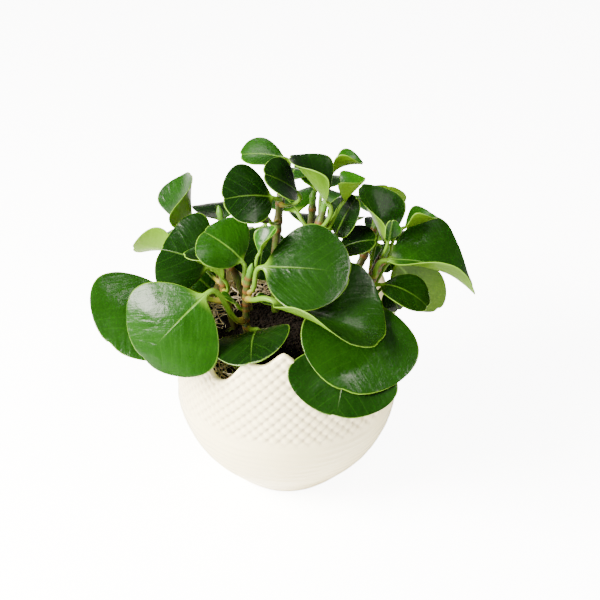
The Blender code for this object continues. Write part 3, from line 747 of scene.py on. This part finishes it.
def build_stem(name, props, material):
    axis, radius = stem_axis(name)
    nodes = sorted({row[1] for row in LEAVES.values() if row[0] == int(name[-1])})
    foot = axis[0].z
    top = axis[-1].z
    count = int((top - foot) / STEM_STEP)
    rings = []
    for k in range(count + 1):
        z = foot + (top - foot) * k / count
        point = stem_point(name, z) if z < top - 5.0 else stem_at(name, z)[0]
        ahead = stem_at(name, min(z + 1.0, top))[0] - stem_at(name, max(z - 1.0, foot))[0]
        away = z - min(nodes, key=lambda node: abs(z - node))
        swell = 1.0 + props.node_swell * bell(away, 2.4)
        crease = 0.05 * bell(away + 2.6, 0.7)
        share = (z - foot) / (top - foot)
        slim = 1.04 - 0.1 * share - 0.1 * smoothed(0.9, 1.0, share)
        mark = (bell(away, 1.1), smoothed(0.965, 1.0, share), 1.0 - 0.6 * share)
        rings.append((point, ahead.normalized(), radius * (swell * slim - crease), mark))
    tip, along, _ = stem_at(name, top)
    for rise, share in BUD:
        rings.append((tip + along * rise, along, radius * share, (0.0, 1.0, 0.0)))
    verts = []
    marks = []
    for point, along, reach, mark in rings:
        side = along.cross(Vector((0.0, 1.0, 0.0))).normalized()
        other = along.cross(side).normalized()
        for i in range(STEM_SIDES):
            angle = 2.0 * pi * i / STEM_SIDES
            x = cos(angle)
            y = sin(angle)
            lump = noise.noise(Vector((x * 1.3, y * 1.3 + point.x, point.z * 0.35)))
            r = reach * (1.0 + 0.035 * lump)
            verts.append(tuple(point + side * r * x + other * r * y))
            marks.append(mark)
    faces = ring_faces(len(rings), STEM_SIDES, flip=True)
    faces.append(tuple(range(STEM_SIDES)))
    faces.append(tuple(reversed(range(len(verts) - STEM_SIDES, len(verts)))))
    return make_object("fine_" + name, verts, faces, material, marks)


# Half the blade's width at a share of its length: wedge-like at the base and round at the tip.
def half_width(share, width):
    share = min(max(share, 0.004), 0.9985)
    return 0.5 * width * sin(pi * share ** OUTLINE_LEAN) ** (OUTLINE_FULL - OUTLINE_ROUNDER * share)


def leaf_frame(base, tip, roll, heading):
    forward = (tip - base).normalized()
    flat = Vector((forward.x, forward.y, 0.0))
    if heading:
        turn = radians(heading[0])
        flat = Vector((cos(turn), sin(turn), 0.0))
    side = flat.cross(Vector((0.0, 0.0, 1.0))).normalized()
    side = (side - forward * side.dot(forward)).normalized()
    normal = side.cross(forward)
    turn = radians(roll)
    return side * cos(turn) + normal * sin(turn), normal * cos(turn) - side * sin(turn)


# Columns across the blade: even in the middle, with two more close to each edge.
def blade_columns(half):
    inner = max(0.72, 1.0 - 0.9 / half)
    outer = max(0.9, 1.0 - 0.28 / half)
    middle = [inner * (2.0 * k / (BLADE_COLUMNS - 1) - 1.0) for k in range(BLADE_COLUMNS)]
    return [-1.0, -outer, *middle, outer, 1.0]


# Rows along the blade: closer at the stalk and at the tip.
def blade_rows(length):
    rows = {1.0 - 2.2 / length, 1.0 - 0.9 / length, 1.0 - 0.28 / length, 1.0}
    for k in range(BLADE_ROWS):
        share = k / BLADE_ROWS
        rows.add(0.78 * share + 0.22 * share * share)
    return sorted(rows)


class Leaf:
    """One leaf's formulas: the midrib, the blade round it and the stalk that carries it."""

    # Shares of the length: how far the last row bends back at the edges, and where the stalk's round ends.
    END = 0.2
    TUBE = 0.09

    def __init__(self, name, props):
        stem, node_z, base, tip, roll, self.width, self.cup, self.arch, self.droop, *heading = LEAVES[name]
        self.props = props
        self.number = int(name[-2:])
        self.base = Vector(base)
        self.tip = Vector(tip)
        self.length = (self.tip - self.base).length
        self.radius = 0.9 + 0.012 * self.width
        self.side, self.normal = leaf_frame(self.base, self.tip, roll, heading)
        node, along, radius = stem_at("stem_%d" % stem, node_z)
        out = self.base - node
        self.out = (out - along * out.dot(along)).normalized()
        self.start = node + self.out * (radius * 0.55)
        self.surface = radius * 1.22
        young = 1.0 - smoothed(22.0, 60.0, self.width)
        scatter = 0.18 * (noise.random() - 0.5)
        self.tone = min(max(LIGHTNESS.get(self.number, 0.33 + 0.5 * young + scatter), 0.0), 1.0)

    def midrib(self, t):
        bend = self.arch * 4.0 * t * (1.0 - t) - self.droop * t ** 3
        return self.base + (self.tip - self.base) * t + self.normal * bend

    def axes(self, t):
        slope = (self.midrib(min(t + 0.02, 1.02)) - self.midrib(t - 0.02)).normalized()
        across = (self.side - slope * self.side.dot(slope)).normalized()
        return across, across.cross(slope), slope

    # Height of the blade over its midrib: a shallow cup, a slow wave and a rippled edge.
    def rise(self, t, x):
        half = max(half_width(t, self.width), 0.8)
        u = max(-1.0, min(1.0, x / half))
        bend = self.cup * sin(pi * min(t, 1.0) ** 0.8)
        soft = sqrt(u * u + 0.01) - 0.1
        cup = half * bend * (0.35 * soft + 0.65 * u * u)
        spot = Vector((x / 21.0, t * self.length / 21.0, self.number * 3.7))
        edge = Vector((x / 11.0, t * self.length / 9.0, self.number * 5.1 + 9.0))
        wave = self.props.wave_height * noise.noise(spot)
        ripple = self.props.edge_ripple * noise.noise(edge) * abs(u) ** 3
        fade = smoothed(0.05, 0.3, t) * min(1.0, self.width / 45.0)
        return cup + (wave + ripple) * fade

    # Place on the blade of row s and column u: columns fan out so that the last row is the tip's outline.
    def spread(self, s, u):
        end = 1.0 - self.END * u * u
        half = half_width((1.0 - self.END) * s, self.width)
        fan = copysign(half_width(end, self.width) / half_width(1.0 - self.END, self.width), u)
        notch = self.props.tip_notch * bell(u, 0.13) * s ** 14
        return s * end - notch / self.length, half * (u + (fan - u) * s ** 5)

    # Points along the stalk from the stem to the blade, with the axes of each ring.
    def stalk_rings(self):
        base = self.base
        start = self.start
        reach = (base - start).length
        leave = start + self.out * (self.surface * 0.45 + reach * 0.3)
        arrive = base - (self.midrib(0.05) - self.midrib(0.0)).normalized() * reach * 0.35
        across, _, last = self.axes(0.0)
        found = []
        for i in reversed(range(STALK_RINGS)):
            k = i / STALK_RINGS
            j = 1.0 - k
            point = start * j ** 3 + leave * 3 * j * j * k + arrive * 3 * j * k * k + base * k ** 3
            slope = (leave - start) * 3 * j * j + (arrive - leave) * 6 * j * k + (base - arrive) * 3 * k * k
            slope.normalize()
            across = last.rotation_difference(slope) @ across
            last = slope
            found.append((point, across.copy(), across.cross(slope), k))
        return reversed(found)

    # One point of the blade, with how far it lies from the edge.
    def blade_point(self, s, u, half, angle, face):
        t, x = self.spread(s, u)
        across, up, _ = self.axes(t)
        neck = self.radius * 0.9 * bell(s, 0.12)
        wide = copysign(hypot(x, neck * u), u) if u else x
        edge = min((1.0 - abs(u)) * half, (1.0 - s) * self.length)
        near = min(edge / self.props.edge_round, 1.0)
        plump = sqrt(max(0.0, 1.0 - (1.0 - near) ** 2))
        thick = self.props.blade_thickness / MM * (1.0 - 0.3 * t) * (1.0 - 0.35 * abs(u)) * plump
        blade = across * wide + up * (self.rise(t, wide) + face * 0.5 * thick)
        tube = bell(s, self.TUBE)
        stalk = across * (self.radius * cos(angle)) + up * (self.radius * sin(angle))
        point = self.midrib(t) + blade * (1.0 - tube) + stalk * tube
        return point, x, t * self.length, edge


def build_leaf(name, props, material):
    leaf = Leaf(name, props)
    last = BLADE_COLUMNS + 3
    spots = [(j, 1.0) for j in range(last + 1)]
    spots.extend((j, -1.0) for j in range(last - 1, 0, -1))
    # Round the section: column, upper or lower face, share to the right, and angle on the stalk.
    section = []
    for j, face in spots:
        v = 2.0 * j / last - 1.0
        section.append((j, face, v, pi * 0.5 * (1.0 - v) * face))
    verts = []
    marks = []
    uvs = []
    stalk = []

    def place(point, upper, rim, x, y, on_stalk):
        verts.append(tuple(point))
        marks.append((upper, rim, leaf.tone))
        uvs.append((0.5 + x / UV_SPAN, y / UV_SPAN))
        stalk.append(on_stalk)

    for point, across, up, k in leaf.stalk_rings():
        reach = leaf.radius * (1.0 + 0.55 * bell(k - 0.04, 0.09))
        for _, _, v, angle in section:
            spot = point + across * (reach * cos(angle)) + up * (reach * sin(angle))
            place(spot, 0.0, 0.0, v, (k - 1.0) * 8.0, 0.3 + 0.7 * (1.0 - k))
    for s in blade_rows(leaf.length):
        half = max(half_width((1.0 - Leaf.END) * s, leaf.width), 0.8)
        columns = blade_columns(half)
        for j, face, _, angle in section:
            spot, x, y, edge = leaf.blade_point(s, columns[j], half, angle, face)
            rim = 1.0 - smoothed(0.08, 0.55, edge)
            upper = 1.0 if face > 0.0 and 0 < j < last else 0.0
            place(spot, upper, rim * (1.0 - bell(s, Leaf.TUBE)), x, y, 0.3 * bell(s, 0.1))
    count = len(section)
    faces = ring_faces(len(verts) // count, count)
    faces.append(tuple(reversed(range(count))))
    item = make_object("fine_" + name, verts, faces, material, marks, stalk=stalk)
    layer = item.data.uv_layers.new(name="blade")
    layer.data.foreach_set("uv", [c for loop in item.data.loops for c in uvs[loop.vertex_index]])
    close_seams(item.data)
    return item


def tint(title, text, default):
    return FloatVectorProperty(
        name=title, description=text, subtype="COLOR", min=0.0, max=1.0, default=default
    )


def length(title, text, default, least=0.0):
    return FloatProperty(name=title, description=text, unit="LENGTH", min=least, precision=5, default=default)


def number(title, text, default, least=0.0, most=1000000.0):
    return FloatProperty(name=title, description=text, min=least, max=most, default=default)


def whole(title, text, default, least):
    return IntProperty(name=title, description=text, min=least, default=default)


class PlantPotSettings(bpy.types.PropertyGroup):
    net_columns: whole("Net columns", "Crossings of the net round the pot", 60, 12)
    steps_per_cell: whole("Steps per cell", "Mesh columns in each cell of the net", 9, 4)
    cell_height: length("Cell height", "Height of one lozenge of the net", 0.0084, 0.002)
    lozenge_height: length("Lozenge height", "How far the lozenges stand out", 0.0004)
    groove_depth: length("Groove depth", "Depth of the grooves between lozenges", 0.0003)
    pit_depth: length("Pit depth", "Further depth where grooves cross", 0.0011)
    ridge_height: length("Ridge height", "Height of the throwing ridges", 0.0004)
    ridge_spacing: length("Ridge spacing", "Distance between throwing ridges", 0.0055, 0.001)
    glaze: tint("Glaze", "Cream glaze", (0.98, 0.88, 0.52))
    glaze_warm: tint("Thin glaze", "Warmer glaze in cloudy patches", (0.95, 0.82, 0.44))
    # The pit colour is partly glaze pooled in the pits, partly painted shade in the recesses.
    pit: tint("Pits", "Glaze that lies in the pits", (0.6, 0.5, 0.34))
    speck: tint("Specks", "Fine specks in the glaze", (0.62, 0.5, 0.33))
    bare_clay: tint("Bare clay", "The foot without glaze", (0.74, 0.62, 0.46))


class PlantLeafSettings(bpy.types.PropertyGroup):
    blade_thickness: length("Blade thickness", "Thickness of the fleshy blade", 0.0013, 0.0006)
    edge_round: number("Edge round", "Width of the rounded edge in millimetres", 0.75, 0.1)
    tip_notch: number("Tip notch", "Depth of the notch at the tip in millimetres", 1.3)
    wave_height: number("Wave", "Height of the slow waves in millimetres", 1.1)
    edge_ripple: number("Edge ripple", "Height of the edge's ripples in millimetres", 0.7)
    # The dark greens serve old leaves, and also paint the shade on leaves deep in the plant through a low
    # tone.
    top_dark: tint("Top, old", "Dark green of old leaves", (0.001, 0.0065, 0.0004))
    top_mid: tint("Top, old and lit", "Lighter patches of old leaves", (0.0022, 0.0125, 0.0006))
    top_light: tint("Top, young", "Green of young leaves", (0.0085, 0.055, 0.001))
    top_bright: tint("Top, young and lit", "Patches of young leaves", (0.016, 0.088, 0.002))
    under: tint("Underside", "Pale green underside", (0.022, 0.062, 0.001))
    under_light: tint("Underside, light", "Underside of young leaves", (0.12, 0.25, 0.006))
    vein: tint("Side veins", "Faint side veins", (0.03, 0.13, 0.005))
    midrib: tint("Midrib", "Pale midrib near the stalk", (0.12, 0.26, 0.022))
    rim: tint("Rim", "Thin translucent edge", (0.125, 0.245, 0.018))
    stalk: tint("Stalk", "Pale green leaf stalk", (0.08, 0.17, 0.01))
    flush: tint("Stalk foot", "Reddish foot of the stalk", (0.2, 0.09, 0.02))


class PlantStemSettings(bpy.types.PropertyGroup):
    node_swell: number("Node swell", "Share by which a node is thicker", 0.22, 0.0, 1.0)
    green: tint("Green", "Green stem", (0.05, 0.09, 0.012))
    green_dark: tint("Dark green", "Darker patches", (0.028, 0.045, 0.007))
    bark: tint("Bark", "Brown of the old stem", (0.05, 0.022, 0.008))
    node: tint("Node", "Reddish brown of the nodes", (0.12, 0.042, 0.01))
    bud: tint("Bud", "Bright green of the bud", (0.055, 0.15, 0.012))


class PlantGroundSettings(bpy.types.PropertyGroup):
    wool_density: number("Strands", "Strands of wood wool on a square metre", 34000.0, 1000.0)
    strand_length: length("Strand length", "Length of a strand of wood wool", 0.045, 0.005)
    strand_width: length("Strand width", "Width of a strand of wood wool", 0.0009, 0.0003)
    crumb_density: number("Crumbs", "Crumbs of soil on a square metre", 240000.0, 1000.0)
    crumb_size: length("Crumb size", "Largest crumb of soil", 0.0026, 0.0003)
    # These soil colours are partly the soil's own and partly painted shade from the leaves above.
    soil: tint("Soil", "Brown soil", (0.009, 0.006, 0.004))
    soil_dark: tint("Dark soil", "Moist soil", (0.003, 0.0024, 0.0018))
    soil_light: tint("Fibres in the soil", "Bits of bark", (0.024, 0.015, 0.008))
    wool: tint("Wood wool", "Pale strands", (0.78, 0.68, 0.47))
    wool_dark: tint("Wood wool, dark", "Browner strands", (0.45, 0.34, 0.18))
    wool_streak: tint("Wood wool, streaks", "Grain along a strand", (0.3, 0.2, 0.09))


class PlantStudioSettings(bpy.types.PropertyGroup):
    lens: number("Lens", "Focal length in millimetres", 85.0, 20.0)
    elevation: number("Elevation", "Camera height over the horizon in degrees", 33.0, -90.0)
    distance: length("Distance", "From the camera to what it looks at", 0.963, 0.1)
    aim: FloatVectorProperty(
        name="Aim", description="What the camera looks at", unit="LENGTH", default=(0.0092, 0.0, 0.1398)
    )
    key_power: number("Key light", "Power of the soft key light in watts", 124.0)
    fill_power: number("Fill light", "Power of the fill light in watts", 12.0)
    top_power: number("Top light", "Power of the light from behind", 4.0)
    overhead_power: number("Overhead light", "Power of the small light overhead", 9.0)
    sky: number("Sky", "Strength of the even light from all sides", 0.16)
    backdrop: number("Backdrop", "How bright the camera sees the surroundings", 14.0)
    floor_glow: number("Floor glow", "How much brighter the camera sees the floor", 9.0)
    light: tint("Light", "Warm light of the lamps", (1.0, 0.955, 0.875))
    floor: tint("Floor", "Pale floor", (0.92, 0.92, 0.92))


class PLANT_OT_studio(bpy.types.Operator):
    """Make the pale floor, the soft lights and the camera"""

    bl_idname = "plant.studio"
    bl_label = "Studio"

    def execute(self, context):
        props = context.scene.plant_studio
        scene = context.scene
        turn = radians(props.elevation)
        away = Vector((0.0, -cos(turn), sin(turn))) * props.distance
        camera = add_object("camera", bpy.data.cameras.new("camera"))
        camera.data.lens = props.lens
        camera.data.sensor_width = 36.0
        camera.location = Vector(props.aim) + away
        camera.rotation_euler = (pi / 2 - turn, 0.0, 0.0)
        scene.camera = camera
        for name, (place, size) in LAMPS.items():
            data = bpy.data.lights.new(name + "_light", "AREA")
            data.shape = "RECTANGLE"
            data.size = size
            data.size_y = size * 0.8
            data.energy = getattr(props, name + "_power")
            data.color = props.light
            lamp = add_object(name + "_light", data)
            lamp.location = place
            lamp.rotation_euler = (LIT_POINT - Vector(place)).to_track_quat("-Z", "Y").to_euler()
        scene.world = bpy.data.worlds.new("white_surroundings")
        scene.world.use_nodes = True
        tree = Tree(scene.world.node_tree)
        background = tree.data.nodes["Background"]
        tree.feed(background.inputs["Color"], WHITE)
        strength = tree.camera_ray() * (props.backdrop - props.sky) + props.sky
        tree.feed(background.inputs["Strength"], strength)
        signs = ((-1, -1), (1, -1), (1, 1), (-1, 1))
        corners = [(x * FLOOR_REACH, y * FLOOR_REACH, FLOOR_Z) for x, y in signs]
        floor = make_object("floor", corners, [(0, 1, 2, 3)], floor_finish(props))
        return {"FINISHED"}


class PLANT_OT_pot(bpy.types.Operator):
    """Make the glazed pot with its net, its ridges and its scalloped lip"""

    bl_idname = "plant.pot"
    bl_label = "Pot"

    def execute(self, context):
        props = context.scene.plant_pot
        dress(build_pot(props, glaze_finish(props)), "glaze", "pot")
        return {"FINISHED"}


class PLANT_OT_ground(bpy.types.Operator):
    """Give the soil its finish, and strew crumbs and wood wool on it"""

    bl_idname = "plant.ground"
    bl_label = "Soil and wood wool"

    def execute(self, context):
        props = context.scene.plant_ground
        soil = soil_finish(props)
        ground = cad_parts["soil"]
        ground.data.materials.clear()
        ground.data.materials.append(soil)
        crumbs = strewn_ring("soil_crumbs", 1.0, 46.0, 10, soil_height, crumb_tree(), props, soil)
        dress(crumbs, "soil")
        straw = wool_finish(props)
        wool = strewn_ring("wool_strands", 56.0, 68.0, 3, lambda r: WOOL_Z, wool_tree(), props, straw)
        dress(wool, "wood_wool", "wood_wool")
        return {"FINISHED"}


class PLANT_OT_stems(bpy.types.Operator):
    """Make the stems with their swollen nodes and their buds"""

    bl_idname = "plant.stems"
    bl_label = "Stems"

    def execute(self, context):
        props = context.scene.plant_stem
        material = stem_finish(props)
        for name in STEMS:
            dress(build_stem(name, props, material), "stem", name)
        return {"FINISHED"}


class PLANT_OT_leaves(bpy.types.Operator):
    """Make the fleshy leaves with their stalks"""

    bl_idname = "plant.leaves"
    bl_label = "Leaves"

    def execute(self, context):
        props = context.scene.plant_leaf
        noise.seed_set(7)
        material = leaf_finish(props)
        for name in LEAVES:
            dress(build_leaf(name, props, material), "leaf", name)
        return {"FINISHED"}


class PLANT_PT_panel(bpy.types.Panel):
    """Lists the steps and their settings"""

    bl_label = "Potted plant"
    bl_idname = "PLANT_PT_panel"
    bl_space_type = "VIEW_3D"
    bl_region_type = "UI"
    bl_category = "Plant"

    def draw(self, context):
        for operator, name, group in STEPS:
            box = self.layout.box()
            box.operator(operator.bl_idname)
            for key in group.__annotations__:
                box.prop(getattr(context.scene, name), key)


STEPS = (
    (PLANT_OT_studio, "plant_studio", PlantStudioSettings),
    (PLANT_OT_pot, "plant_pot", PlantPotSettings),
    (PLANT_OT_ground, "plant_ground", PlantGroundSettings),
    (PLANT_OT_stems, "plant_stem", PlantStemSettings),
    (PLANT_OT_leaves, "plant_leaf", PlantLeafSettings),
)


def register():
    for operator, name, group in STEPS:
        bpy.utils.register_class(group)
        setattr(bpy.types.Scene, name, PointerProperty(type=group))
        bpy.utils.register_class(operator)
    bpy.utils.register_class(PLANT_PT_panel)


def unregister():
    bpy.utils.unregister_class(PLANT_PT_panel)
    for operator, name, group in reversed(STEPS):
        bpy.utils.unregister_class(operator)
        delattr(bpy.types.Scene, name)
        bpy.utils.unregister_class(group)


def main():
    register()
    bpy.ops.plant.studio()
    bpy.ops.plant.pot()
    bpy.ops.plant.ground()
    bpy.ops.plant.stems()
    bpy.ops.plant.leaves()


if __name__ == "__main__":
    main()
